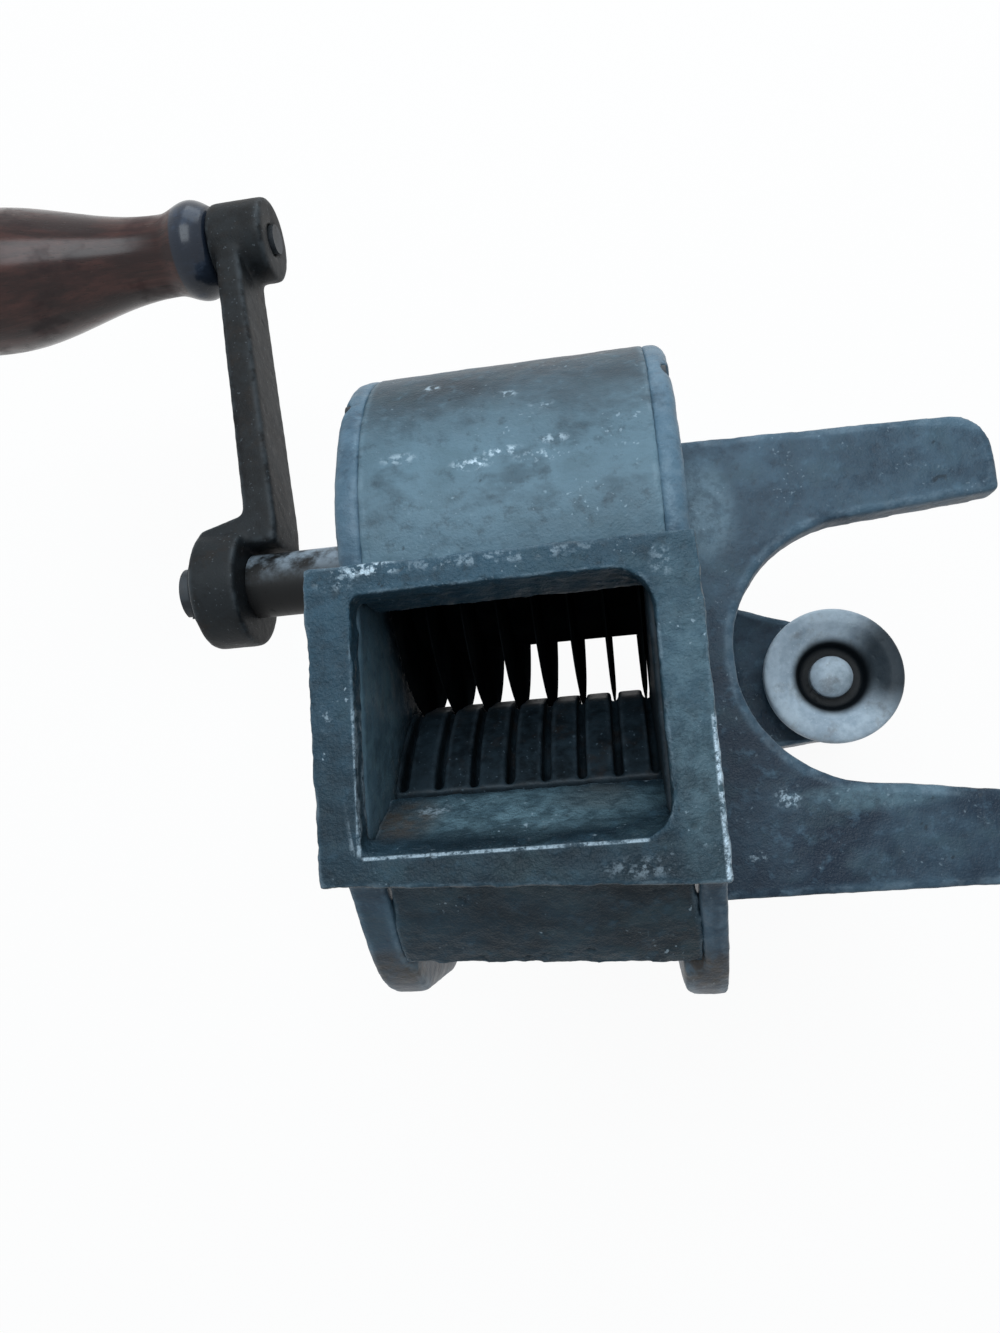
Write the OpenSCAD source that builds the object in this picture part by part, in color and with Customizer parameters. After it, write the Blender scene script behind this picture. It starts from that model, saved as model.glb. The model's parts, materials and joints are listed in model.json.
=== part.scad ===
// Hand-cranked bean slicer that clamps to a table edge.
// The origin is on the clamp screw's axis, level with the underside of the fork's prongs.
// +Z runs up along the clamp screw and +X along the knife shaft, towards the table.

/* [Knife stack] */
// Number of disc knives
knife_count = 8; // [5:1:10]
// Distance from one knife to the next
knife_pitch = 7; // [5:0.5:10]
// Diameter of a knife
knife_d = 71; // [64:1:80]
// Thickness of a knife
knife_t = 0.9; // [0.6:0.1:1.5]
// Width of the ground edge on each side of a knife
knife_grind = 3; // [1:0.5:6]
// Diameter of the spacers between the knives
core_d = 40; // [30:1:46]
// Side of the square that drives the knives
drive_square = 11; // [9:0.5:13]
// Room from the middle of the first knife to the left wall
left_room = 2; // [1.5:0.25:5]
// Room from the middle of the last knife to the right wall
right_room = 5; // [3:0.25:8]

/* [Shaft] */
// Diameter of the shaft in the left wall
shaft_d = 15; // [14:0.5:20]
// Diameter of the end journal in the right wall
journal_d = 9; // [6:0.5:10]
// Diameter of the ring nut that clamps the stack
nut_d = 28; // [22:1:34]
// Length of the free shaft between the left wall and the crank hub
shaft_gap = 32.1; // [24:0.1:45]

/* [Walls] */
// Thickness of the left wall
left_wall_t = 6; // [4:0.5:10]
// Thickness of the right wall
right_wall_t = 5.5; // [5:0.5:10]
// Radius on the outer edge of the walls round the drum
wall_round = 3; // [1:0.5:4]
// How far the feet stand out in front of the hopper rim
foot_forward = 24.6; // [16:0.1:36]
// Height of the shaft axis above the soles of the feet
foot_drop = 22; // [16:1:30]
// Height over which the skirt swells out to the feet
skirt_fall = 34; // [26:1:44]
// Length of a foot, front to back
foot_l = 15; // [10:1:20]
// Width of a foot
foot_w = 9; // [7:0.5:14]
// Radius of the arch behind the feet
arch_r = 30; // [28:1:45]
// How far the left wall's front part stands out of the drum's side
front_out = 1.5; // [0:0.25:3]

/* [Drum cover] */
// Thickness of the drum cover
cover_t = 4; // [3:0.5:6]
// Room between the knives and the cover
knife_gap = 3.5; // [3:0.5:8]
// Length of the thick end ribs that take the screws
rib_l = 7; // [5:0.5:10]
// Depth of the end ribs, measured inwards from the outer face
rib_t = 6.5; // [5:0.5:6.5]
// Angle at which the cover ends under the shaft, from straight back
cover_end = -85; // [-88:1:-60]

/* [Hopper] */
// Height of the rim above the top of the drum
rim_rise = 10; // [8:1:16]
// Thickness of the rim
rim_t = 6; // [4:0.5:8]
// Width of the rim's front bar in the middle
rim_front_w = 7; // [5:0.5:12]
// How much further forward the front stands on the table side than on the crank side
front_skew = 3.4; // [0:0.1:5]
// Overhang of the rim outside the wall on the crank side, at the front
rim_over = 0.5; // [0:0.25:2]
// How much further the rim stands out there at the back
rim_splay = 1; // [0:0.25:2]
// Width of the rim's back bar
rim_back_w = 6.5; // [5:0.5:10]
// Distance from the shaft axis forward to the back edge of the mouth
mouth_back = 19; // [16:0.5:24]
// Length of the mouth, front to back
mouth_l = 45; // [38:1:60]
// Overhang of the rim's bar inside the wall on the crank side
mouth_lip_left = 0.25; // [0.25:0.25:2.5]
// Overhang of the rim's bar inside the wall on the table side
mouth_lip_right = 3.75; // [0.25:0.25:5]
// Corner radius of the mouth on the crank side
mouth_left_r = 1.5; // [1:0.5:8]
// Corner radius of the mouth on the table side
mouth_right_r = 6; // [1:0.5:10]
// Thickness of the sloping front wall
front_t = 4; // [3:0.5:6]
// Thickness of the apron
apron_t = 4; // [3:0.5:6]
// Depth of the rim's front bar and of the straight part of the apron below the rim's top
apron_straight = 14; // [10:1:22]
// How far the apron is set back behind the walls' front edges
apron_setback = 0.5; // [0.5:0.25:3]

/* [Comb] */
// Width of the slots that the knives run in
slot_w = 1.6; // [1.3:0.1:2.5]
// How far the knives reach into the comb
comb_bite = 3; // [1:0.5:5]
// Angle of the bars' face to the vertical
comb_lean = 7.7; // [4:0.1:12]
// Length of the bars' upright face
comb_face = 20; // [14:1:26]
// Length of the bars' sloping top
bar_l = 22.5; // [18:0.5:30]
// Angle of the bars' top to the level
bar_slope = 37; // [25:1:45]
// Radius of the bars' nose
nose_r = 5; // [2:0.5:7]
// Thickness of the bars
bar_t = 9; // [6:0.5:12]
// Depth of the slots under the bars' top
slot_depth = 5.5; // [4:0.5:8]
// Room round the knives in the slots
slot_room = 1; // [0.5:0.25:2]
// Length of the flange behind the hopper's front wall
flange_l = 9; // [8:0.5:10]
// Thickness of that flange
flange_t = 5; // [4:0.5:7]

/* [Table fork] */
// Thickness of the fork
fork_t = 8; // [6:0.5:12]
// Width over both prongs at the wall
fork_w = 106.5; // [92:0.5:130]
// How much the back prong's outer edge comes in towards its end
fork_taper = 1.6; // [0:0.1:4]
// Length of the prongs past the clamp screw
prong_l = 32; // [24:1:60]
// Distance from the right wall to the clamp screw
screw_reach = 40.2; // [38:0.1:50]
// Radius of the throat
throat_r = 30; // [24:0.5:36]
// How much wider the gap is at the ends of the prongs, on each side
prong_flare = 3.5; // [0:0.25:8]
// How far the middle of the gap moves forward towards the ends of the prongs
gap_shift = 0.9; // [0:0.1:3]
// Corner radius at the ends of the prongs
prong_r = 9; // [2:0.5:9]
// Level of the prongs' underside below the shaft axis
fork_drop = 14; // [13:0.5:18]
// Distance from the shaft axis forward to the clamp screw
screw_forward = 26.8; // [22:0.1:34]

/* [Clamp] */
// Thickest table that the clamp takes
table_max = 37; // [36:1:60]
// Gap between the prongs and the pad as shown
pad_gap = 35; // [6:1:36]
// Diameter of the clamp screw
screw_d = 12; // [9:0.5:14]
// Diameter of the pad
pad_d = 36.5; // [28:0.5:42]
// Thickness of the pad
pad_t = 9; // [8:0.5:12]
// Diameter of the screw's neck in the pad
neck_d = 8; // [6:0.5:8.5]
// Diameter of the riveted tip that holds the pad
tip_d = 11.5; // [10:0.5:13]
// Height of that tip
tip_h = 5; // [3:0.5:5.5]
// Depth of the cup in the pad
cup_depth = 6; // [5.5:0.25:6.5]
// Diameter of the cup's floor
cup_d = 16.5; // [15:0.5:20]
// Width of the pad's flat rim
cup_rim = 3.5; // [2:0.5:5]
// Diameter of the threaded boss
boss_d = 32; // [20:1:36]
// Length of the threaded boss
boss_l = 18; // [14:1:30]
// Width of the clamp arm at the wall
arm_root_w = 50; // [38:1:54]
// How far the clamp arm's root lies behind the screw
arm_root_shift = 5; // [0:0.5:8]
// Thickness of the clamp arm's upright
upright_t = 9; // [7:0.5:9.5]
// Thickness of the clamp arm's beam
beam_t = 13; // [10:0.5:14]
// Span of the wing on the screw
wing_span = 44; // [30:1:60]
// Height of the wing
wing_h = 24; // [18:1:34]
// Thickness of the wing
wing_t = 6; // [4:0.5:9]

/* [Crank] */
// Radius at which the grip turns
crank_r = 90.5; // [70:0.5:120]
// Diameter of the hub
hub_d = 28.4; // [24:0.2:34]
// Length of the hub
hub_l = 11.4; // [9:0.2:24]
// Side of the square that carries the hub
hub_square = 9; // [7:0.5:10]
// Width of the arm, across its swing
arm_w = 17.5; // [12:0.5:20]
// Thickness of the arm at the hub
arm_root_t = 8.1; // [5:0.1:10]
// Thickness of the arm at the eye
arm_tip_t = 6.4; // [4:0.1:8]
// How far the arm leans outwards from hub to eye
arm_lean = 8; // [0:0.5:14]
// Diameter of the eye
eye_d = 20.5; // [18:0.5:26]
// How far the eye stands out of the arm on the wall's side
eye_boss = 7; // [2:0.5:9]
// How far it stands out of the arm on the grip's side
eye_lip = 1.25; // [0.25:0.25:3]
// Height of the web that fills the corner between hub and arm
arm_web = 1.5; // [1:0.5:6]

/* [Grip] */
// Length of the grip
grip_l = 102; // [85:1:125]
// Largest diameter of the grip
grip_d = 35.5; // [30:0.5:42]
// Diameter of the bead next to the eye
bead_d = 24.5; // [22.5:0.5:32]
// Diameter of the waist behind the bead
waist_d = 20.5; // [18:0.25:23]
// Diameter of the grip's face at the eye
face_d = 19.5; // [17:0.5:22]
// Distance from the eye to the waist
waist_at = 23.5; // [18:0.5:30]
// Distance from the eye to the bead's ridge
bead_at = 7.5; // [5:0.5:10]
// Distance from the eye to the grip's thickest place
swell_at = 74; // [60:1:80]
// Diameter of the axle
axle_d = 7; // [5:0.5:9]
// Diameter of the axle's head
axle_head_d = 13; // [11:0.5:15]

/* [Screws] */
// Diameter of the screws in the castings
fix_d = 3; // [2.5:0.1:3.4]
// Diameter of their heads
fix_head_d = 5; // [4.4:0.1:5.4]
// Height of their heads
fix_head_h = 1.8; // [1.5:0.1:2]
// How deep the heads lie below the faces of the walls
fix_sink = 1.2; // [1.1:0.1:1.4]
// Width and depth of the driver slots
fix_slot = 0.9; // [0.6:0.1:1.2]
// Diameter of the crank screw
crank_screw_d = 5; // [4:0.5:5.5]
// Diameter of the crank washer
washer_d = 20; // [16:1:24]
// Thickness of the crank washer
washer_t = 1.6; // [1:0.2:3]

/* [Clearances] */
// Radial room of a turning fit
run_fit = 0.05; // [0.02:0.01:0.1]
// Room round a fixed fit
set_fit = 0.1; // [0.05:0.05:0.2]
// Room at the ends of a turning piece
end_play = 0.35; // [0.3:0.05:0.6]
// Open seam at the ends of the drum cover
seam = 0.25; // [0.1:0.05:0.5]

/* [Hidden] */
$fn = 96;
eps = 0.01;

// Walls and drum, measured from the shaft axis and the middle of the knife stack
function knife_x(i) = (i - (knife_count + 1) / 2) * knife_pitch;
left_in = knife_x(1) - left_room;
right_in = knife_x(knife_count) + right_room;
inner_w = right_in - left_in;
left_out = left_in - left_wall_t;
right_out = right_in + right_wall_t;
knife_r = knife_d / 2;
cover_in = knife_r + knife_gap;
drum_r = cover_in + cover_t;

// Hopper
rim_top = drum_r + rim_rise;
rim_under = rim_top - rim_t;
mouth_front = mouth_back + mouth_l;
rim_front = mouth_front + rim_front_w;
rim_back = mouth_back - rim_back_w;
foot_front = rim_front + foot_forward;

// Skirt of the walls: one cubic curve from under the rim to the nose of the foot
skirt_start = [-rim_front, rim_top - apron_straight];
skirt_end = [-foot_front, skirt_start[1] - skirt_fall];
skirt_pull_1 = skirt_start + [-foot_forward / 8, -skirt_fall / 6];
skirt_pull_2 = skirt_end + [foot_forward / 10, skirt_fall * 0.6];
skirt_steps = 16;
apron_stop = 0.62;
function skirt(t) = pow(1 - t, 3) * skirt_start + 3 * t * pow(1 - t, 2) * skirt_pull_1
    + 3 * t * t * (1 - t) * skirt_pull_2 + pow(t, 3) * skirt_end;
apron_low = skirt(apron_stop);
foot_top = apron_low[1] - apron_t / 3 - 2 * end_play;
foot_round = foot_w * 0.45;
skew_angle = atan(front_skew / (right_out - left_out));

// Arch between the feet and the drum
drum_y_at_sole = sqrt(drum_r * drum_r - foot_drop * foot_drop);
heel = foot_front - foot_l;
arch_half = (heel - drum_y_at_sole) / 2;
arch_y = -(heel + drum_y_at_sole) / 2;
arch_z = -foot_drop - sqrt(max(arch_r * arch_r - arch_half * arch_half, 1));

// Comb: the face touches a circle just inside the knives' reach
comb_r = knife_r - comb_bite;
comb_touch = comb_r * [-cos(comb_lean), -sin(comb_lean)];
comb_up = [-sin(comb_lean), cos(comb_lean)];
comb_nose = comb_touch + comb_face * comb_up;
bar_dir = [-cos(bar_slope), sin(bar_slope)];
chute_foot = comb_nose + bar_l * bar_dir;
chute_top = [-mouth_front, rim_top];
chute_dir = (chute_top - chute_foot) / norm(chute_top - chute_foot);
chute_out = [-chute_dir[1], chute_dir[0]];
bar_out = [-bar_dir[1], bar_dir[0]];
comb_tail = 6;
tail_t = bar_t * 0.8;
tail_drop = 1;
flange_screw = 0.55;
tap_depth = front_t * 0.65;
slot_rest = 0.5;
nose_in = (bar_dir - comb_up) / norm(bar_dir - comb_up);
nose_half = acos(nose_in * bar_dir);
nose_centre = comb_nose + nose_r / sin(nose_half) * nose_in;
nose_steps = 8;
nose_angles = [for (i = [0:nose_steps]) 90 - bar_slope - i / nose_steps * (180 - 2 * nose_half)];

// Drum cover
cover_start = 90 + asin((rim_back - seam) / drum_r);
cover_screw_r = drum_r - rib_t / 2;
cover_screw_angles = [52, -4, -60];

// Screws through the walls into the hopper
lug_l = 1.5 * apron_t;
lug = 2.5 * apron_t;
lug_y = -rim_front + front_skew / 2 + apron_setback + apron_t;
front_screw = [lug_y, rim_under - lug / 2];
back_bar = 3.4 * fix_d;
back_screw = [-(mouth_back + rim_back) / 2, rim_under - back_bar / 2];
fix_l = 3.4 * fix_d;
fix_seat = fix_head_h + fix_sink;
comb_screw_x = [for (s = [-1, 0, 1]) (left_in + right_in) / 2 + s * inner_w / 3];

// Shaft
crank_side = left_out - shaft_gap;
flange_d = core_d * 0.7;
journal_web = 1;
nut_slot = 3;
nut_slot_depth = 1.2;
stack_left = knife_x(1) - knife_t / 2;
stack_right = knife_x(knife_count) + knife_t / 2;
hub_out = crank_side - hub_l;
tap_l = hub_l * 1.3;

// Fork and clamp, measured from the clamp screw and the prongs' underside
stack_x = -(right_out + screw_reach);
wall_x = -screw_reach;
boss_top = -(table_max + pad_t + 2 * end_play);
boss_low = boss_top - boss_l;
pad_top = -pad_gap;
pad_low = pad_top - pad_t;
arm_inner_r = 10;
beam_step = 2;
pad_foot_d = pad_d * 0.6;
pad_side = 4;
pad_edge = 0.8;
funnel_depth = cup_depth * 0.55;
funnel_low_r = cup_d / 2 + 1;
tip_dome_r = tip_d * 0.6;
wing_room = pad_gap + end_play;
wing_top = boss_low - wing_room;

// Crank and grip, measured from the shaft axis and the middle of the knife stack
arm_tip_x = crank_side + arm_root_t - arm_lean;
eye_x = arm_tip_x + eye_boss;
eye_left = arm_tip_x - arm_tip_t - eye_lip;
grip_start = eye_left - end_play;
web_inset = 1;
rivet_h = 0.8;
end_round = 0.75;

iron = "#39424c";
dark_iron = "#46433f";
bar_iron = "#55606b";
steel = "#8b8f92";
worn_steel = "#6e6a64";
wood = "#5a3a33";

// Moves what is drawn round the knife shaft to its place over the clamp
module head() {
    translate([stack_x, screw_forward, fork_drop]) children();
}

// Extrudes an outline drawn in Y and Z from x0 to x1
module across(x0, x1) {
    translate([x0, 0, 0]) rotate([90, 0, 90]) linear_extrude(x1 - x0) children();
}

// A round bar along X
module rod_x(d, x0, x1) {
    translate([x0, 0, 0]) rotate([0, 90, 0]) cylinder(d = d, h = x1 - x0);
}

// A square bar along X
module square_x(side, x0, x1) {
    translate([x0, -side / 2, -side / 2]) cube([x1 - x0, side, side]);
}

// A rectangle between two corners
module box2d(a, b) {
    translate(a) square(b - a);
}

// A round-cornered rectangle, with one radius for its left and one for its right corners
module mouth2d(a, b, left_r, right_r) {
    box2d([a[0] + left_r, a[1]], [b[0] - right_r, b[1]]);
    box2d([a[0], a[1] + left_r], [a[0] + left_r + eps, b[1] - left_r]);
    box2d([b[0] - right_r - eps, a[1] + right_r], [b[0], b[1] - right_r]);
    for (y = [a[1] + left_r, b[1] - left_r]) translate([a[0] + left_r, y]) circle(r = left_r);
    for (y = [a[1] + right_r, b[1] - right_r]) translate([b[0] - right_r, y]) circle(r = right_r);
}

// Places of the screws that hold a wall, as points in Y and Z
function wall_screws() = concat(
    [front_screw, back_screw],
    [for (a = cover_screw_angles) cover_screw_r * [cos(a), sin(a)]]
);

// A slotted screw along X, sunk in a wall of thickness t whose outer face is at x; it points towards side
module fixing_screw(x, t, at, side) {
    translate([x + side * fix_seat, at[0], at[1]]) mirror([side > 0 ? 0 : 1, 0, 0]) difference() {
        union() {
            rod_x(fix_d, -eps, t - fix_seat + fix_l);
            rod_x(fix_head_d, -fix_head_h, 0);
        }
        translate([-fix_head_h - eps, -fix_head_d, -fix_slot / 2])
            cube([fix_slot + eps, 2 * fix_head_d, fix_slot]);
    }
}

// Outline of a wall in front of the drum: hopper side, skirt, foot and arch.
// The front is moved forward by shift.
module wall_front2d(shift) {
    difference() {
        polygon(concat(
            [[-rim_back, rim_under], [-rim_front - shift, rim_under]],
            [for (i = [0:skirt_steps]) skirt(i / skirt_steps) - [shift, 0]],
            [[-foot_front - shift, -foot_drop], [-heel - shift, -foot_drop]],
            [[-cover_in / 2, -foot_drop], [-rim_back, 0]]
        ));
        translate([arch_y - shift / 2, arch_z]) circle(r = arch_r);
    }
}

// Wall with its drum's side at x = 0, its inner face at x = t and its front part standing out by out
module wall(t, shift, out) {
    across(-out, t) wall_front2d(shift);
    rotate([0, 90, 0]) rotate_extrude() intersection() {
        square([drum_r, t]);
        union() {
            square([drum_r - wall_round, t]);
            translate([0, wall_round]) square([drum_r, t]);
            translate([drum_r - wall_round, wall_round]) circle(r = wall_round);
        }
    }
    intersection() {
        across(-out, foot_w - out) wall_front2d(shift);
        translate([-out, -shift, -foot_drop]) linear_extrude(foot_drop + foot_top)
            mouth2d([0, -foot_front], [foot_w, -heel + foot_w / 2], foot_round, foot_round);
    }
}

// Holes of the screws from x0 to x1
module wall_screw_holes(x0, x1) {
    for (p = wall_screws()) translate([0, p[0], p[1]]) rod_x(fix_d + 2 * set_fit, x0 - eps, x1 + eps);
}

// Seats of the screws' heads from x0 to x1
module wall_screw_seats(x0, x1) {
    for (p = wall_screws()) translate([0, p[0], p[1]]) rod_x(fix_head_d + 2 * set_fit, x0, x1);
}

module left_wall() {
    color(iron) head() difference() {
        translate([left_out, 0, 0]) wall(left_wall_t, -front_skew / 2, front_out);
        rod_x(shaft_d + 2 * run_fit, left_out - eps, left_in + eps);
        wall_screw_holes(left_out, left_in);
        wall_screw_seats(left_out - front_out - eps, left_out + fix_seat);
    }
}

// Plan of the fork, with the clamp screw at the origin
module fork2d() {
    half = fork_w / 2;
    back = half - fork_taper;
    gap = throat_r + prong_flare;
    corner_x = prong_l - prong_r;
    difference() {
        union() {
            polygon([
                [wall_x - eps, -half], [corner_x, -half], [prong_l, prong_r - half],
                [prong_l, back - prong_r], [corner_x, back], [wall_x - eps, half]
            ]);
            for (y = [prong_r - half, back - prong_r]) translate([corner_x, y]) circle(r = prong_r);
        }
        circle(r = throat_r);
        polygon([
            [0, -throat_r], [prong_l + eps, -gap - gap_shift], [prong_l + eps, gap - gap_shift], [0, throat_r]
        ]);
    }
}

// Side view of the clamp arm in X and Z: upright, corner and beam
module clamp_arm2d() {
    upright_x = wall_x + upright_t;
    beam_top = boss_top - beam_step;
    beam_low = beam_top - beam_t;
    corner_r = upright_t + arm_inner_r;
    difference() {
        union() {
            box2d([wall_x, beam_top - arm_inner_r], [upright_x, eps]);
            box2d([wall_x + corner_r, beam_low], [0, beam_top]);
            translate([wall_x + corner_r, beam_low + corner_r]) intersection() {
                circle(r = corner_r);
                box2d([-corner_r, -corner_r], [0, 0]);
            }
            box2d([wall_x, beam_low + corner_r - eps], [upright_x, beam_top]);
            box2d([upright_x - eps, beam_top - eps], [upright_x + arm_inner_r, beam_top + arm_inner_r]);
        }
        translate([upright_x + arm_inner_r, beam_top + arm_inner_r]) circle(r = arm_inner_r);
    }
}

// Plan of the clamp arm, narrowing from the wall to the boss
module clamp_arm_plan2d() {
    polygon([
        [wall_x, arm_root_shift - arm_root_w / 2], [0, -boss_d / 2],
        [0, boss_d / 2], [wall_x, arm_root_shift + arm_root_w / 2]
    ]);
}

module clamp_arm() {
    depth = -boss_low + fork_t;
    intersection() {
        translate([0, arm_root_w, 0]) rotate([90, 0, 0]) linear_extrude(2 * arm_root_w) clamp_arm2d();
        translate([0, 0, -depth]) linear_extrude(depth + fork_t) clamp_arm_plan2d();
    }
    translate([0, 0, boss_low]) cylinder(d = boss_d, h = boss_l);
}

module right_wall() {
    color(iron) difference() {
        union() {
            head() translate([right_out, 0, 0]) mirror([1, 0, 0]) wall(right_wall_t, front_skew / 2, 0);
            linear_extrude(fork_t) fork2d();
            clamp_arm();
        }
        head() rod_x(journal_d + 2 * run_fit, right_in - eps, right_out - journal_web);
        head() wall_screw_holes(right_in, right_out);
        head() wall_screw_seats(right_out - fix_seat, right_out + eps);
        translate([0, 0, boss_low - eps]) cylinder(d = screw_d + 2 * run_fit, h = boss_l + 2 * eps);
    }
}

// Sloping front wall of the hopper in Y and Z
module front2d() {
    top_out = chute_top + front_t * chute_out;
    polygon([chute_top, chute_foot, chute_foot + front_t * chute_out, [top_out[0], rim_top]]);
}

// Apron in Y and Z, parallel to the walls' front edges
module apron2d() {
    last = round(skirt_steps * apron_stop);
    outer = [for (i = [0:last]) skirt(apron_stop * i / last) + [apron_setback, 0]];
    inner = [for (i = [last:-1:0]) skirt(apron_stop * i / last) + [apron_setback + apron_t, -apron_t / 3]];
    polygon(concat([[-rim_front + apron_setback, rim_under]], outer, inner,
        [[-rim_front + apron_setback + apron_t, rim_under]]));
}

module hopper() {
    mouth_a = [left_in + mouth_lip_left, -mouth_front];
    mouth_b = [right_in - mouth_lip_right, -mouth_back];
    rim_left = left_out - front_out - rim_over;
    color(iron) head() difference() {
        union() {
            translate([0, 0, rim_under]) linear_extrude(rim_t) difference() {
                polygon([
                    [rim_left, -rim_front + front_skew / 2], [right_out, -rim_front - front_skew / 2],
                    [right_out, -rim_back], [rim_left - rim_splay, -rim_back]
                ]);
                mouth2d(mouth_a, mouth_b, mouth_left_r, mouth_right_r);
            }
            across(left_in, right_in) intersection() {
                front2d();
                box2d([-rim_front, 0], [0, rim_under + eps]);
            }
            intersection() {
                rotate([0, 0, -skew_angle]) across(left_out, right_out) apron2d();
                across(left_in, right_in) box2d([-2 * foot_front, -foot_drop], [0, rim_under]);
            }
            across(left_in, right_in)
                box2d([-mouth_back, rim_under - back_bar], [-rim_back, rim_under + eps]);
            for (x = [left_in, right_in - lug]) across(x, x + lug)
                box2d(front_screw - [lug_l / 2, lug / 2], front_screw + [lug_l / 2, lug / 2 + eps]);
        }
        wall_screw_holes(left_in - fix_l, left_in + fix_l);
        wall_screw_holes(right_in - fix_l, right_in + fix_l);
        comb_screw_holes();
    }
}

module drum_cover() {
    color(iron) head() difference() {
        intersection() {
            union() {
                across(left_in + seam, right_in - seam) difference() {
                    circle(r = drum_r);
                    circle(r = cover_in);
                }
                for (x = [left_in + seam, right_in - seam - rib_l]) across(x, x + rib_l) difference() {
                    circle(r = drum_r);
                    circle(r = drum_r - rib_t);
                }
            }
            across(left_in, right_in) polygon([
                [0, 0], 2 * drum_r * [cos(cover_end), sin(cover_end)], 3 * drum_r * [cos(-45), sin(-45)],
                3 * drum_r * [cos(45), sin(45)], 2 * drum_r * [cos(cover_start), sin(cover_start)]
            ]);
        }
        wall_screw_holes(left_in, left_in + fix_l);
        wall_screw_holes(right_in - fix_l, right_in);
    }
}

// Comb in Y and Z: nose, bar and the flange behind the hopper's front wall
module comb2d() {
    foot_out = chute_foot + front_t * chute_out;
    tip_low = comb_touch - comb_tail * comb_up;
    nose = [for (a = nose_angles) nose_centre + nose_r * [cos(a), sin(a)]];
    polygon(concat([chute_foot], nose, [
        tip_low, tip_low - [tail_t, tail_drop], comb_nose + bar_t * bar_out + bar_t * bar_dir,
        foot_out + flange_t * chute_out, foot_out + flange_t * chute_out + flange_l * chute_dir,
        foot_out + flange_l * chute_dir, foot_out
    ]));
}

// Outline of a slot in the comb: the knife's sweep and a groove along the bars' top
module slot2d() {
    root = chute_foot - slot_rest * bar_dir;
    front = comb_nose - bar_t * bar_dir;
    circle(r = knife_r + slot_room);
    polygon([
        root - bar_t * bar_out, root + slot_depth * bar_out,
        front + slot_depth * bar_out, front - bar_t * bar_out
    ]);
}

module comb() {
    color(bar_iron) head() difference() {
        across(left_in + set_fit, right_in - set_fit) comb2d();
        for (i = [1:knife_count]) across(knife_x(i) - slot_w / 2, knife_x(i) + slot_w / 2) slot2d();
        comb_screw_holes();
    }
}

// Puts children on the comb's flange, pointing into the hopper's front wall
module on_flange() {
    place = chute_foot + (front_t + flange_t) * chute_out + flange_screw * flange_l * chute_dir;
    for (x = comb_screw_x) translate([x, place[0], place[1]])
        rotate([-atan2(-chute_out[0], -chute_out[1]), 0, 0]) children();
}

module comb_screw_holes() {
    on_flange() translate([0, 0, -eps]) cylinder(d = fix_d + 2 * set_fit, h = flange_t + tap_depth + set_fit);
}

module comb_screws() {
    color(steel) head() on_flange() difference() {
        union() {
            cylinder(d = fix_d, h = flange_t + tap_depth);
            translate([0, 0, -fix_head_h]) cylinder(d = fix_head_d, h = fix_head_h);
        }
        translate([-fix_slot / 2, -fix_head_d, -fix_head_h - eps])
            cube([fix_slot, 2 * fix_head_d, fix_slot + eps]);
    }
}

module hopper_screws() {
    color(steel) head() for (p = [front_screw, back_screw]) {
        fixing_screw(left_out, left_wall_t, p, 1);
        fixing_screw(right_out, right_wall_t, p, -1);
    }
}

module cover_screws() {
    color(steel) head() for (a = cover_screw_angles) {
        fixing_screw(left_out, left_wall_t, cover_screw_r * [cos(a), sin(a)], 1);
        fixing_screw(right_out, right_wall_t, cover_screw_r * [cos(a), sin(a)], -1);
    }
}

module shaft() {
    color(worn_steel) head() difference() {
        union() {
            square_x(hub_square, hub_out + end_play, crank_side + eps);
            rod_x(shaft_d, crank_side, left_in);
            rod_x(shaft_d, left_in - eps, left_in + end_play);
            rod_x(flange_d, left_in + end_play, stack_left);
            square_x(drive_square, stack_left - eps, stack_right);
            rod_x(drive_square, stack_right - eps, right_in - end_play);
            rod_x(journal_d, right_in - end_play - eps, right_out - journal_web - end_play);
        }
        rod_x(crank_screw_d + 2 * set_fit, hub_out, hub_out + tap_l);
    }
}

module stack_nut() {
    color(steel) head() difference() {
        rod_x(nut_d, stack_right, right_in - end_play);
        rod_x(drive_square + 2 * set_fit, stack_right - eps, right_in);
        for (a = [0, 90]) rotate([a, 0, 0])
            translate([right_in - end_play - nut_slot_depth, -nut_slot / 2, -nut_d])
                cube([2 * nut_slot_depth, nut_slot, 2 * nut_d]);
    }
}

// A disc knife with a ground edge and a square hole
module knife(i) {
    grind = knife_t * 0.4;
    color(steel) head() translate([knife_x(i) - knife_t / 2, 0, 0]) difference() {
        rotate([0, 90, 0]) rotate_extrude() polygon([
            [0, 0], [knife_r - knife_grind, 0], [knife_r, grind],
            [knife_r, knife_t - grind], [knife_r - knife_grind, knife_t], [0, knife_t]
        ]);
        square_x(drive_square + 2 * set_fit, -eps, knife_t + eps);
    }
}

module spacer(i) {
    color(worn_steel) head() difference() {
        rod_x(core_d, knife_x(i) + knife_t / 2, knife_x(i + 1) - knife_t / 2);
        square_x(drive_square + 2 * set_fit, knife_x(i), knife_x(i + 1));
    }
}

// Plan of the crank arm in X and Y, from the hub's inner face out to the eye
module crank_arm2d() {
    root_x = crank_side + arm_root_t;
    root_y = shaft_d / 2 + 2 * end_play;
    web_left = hub_out + web_inset;
    web_low = sqrt(pow(hub_d / 2, 2) - pow(arm_w / 2, 2)) - set_fit;
    polygon([
        [crank_side - eps, root_y], [root_x, root_y], [root_x, hub_d / 2], [arm_tip_x, crank_r],
        [arm_tip_x - arm_tip_t, crank_r], [crank_side - eps, hub_d / 2 + arm_web],
        [web_left, hub_d / 2 - arm_web], [web_left, web_low], [crank_side - eps, web_low]
    ]);
}

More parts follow.
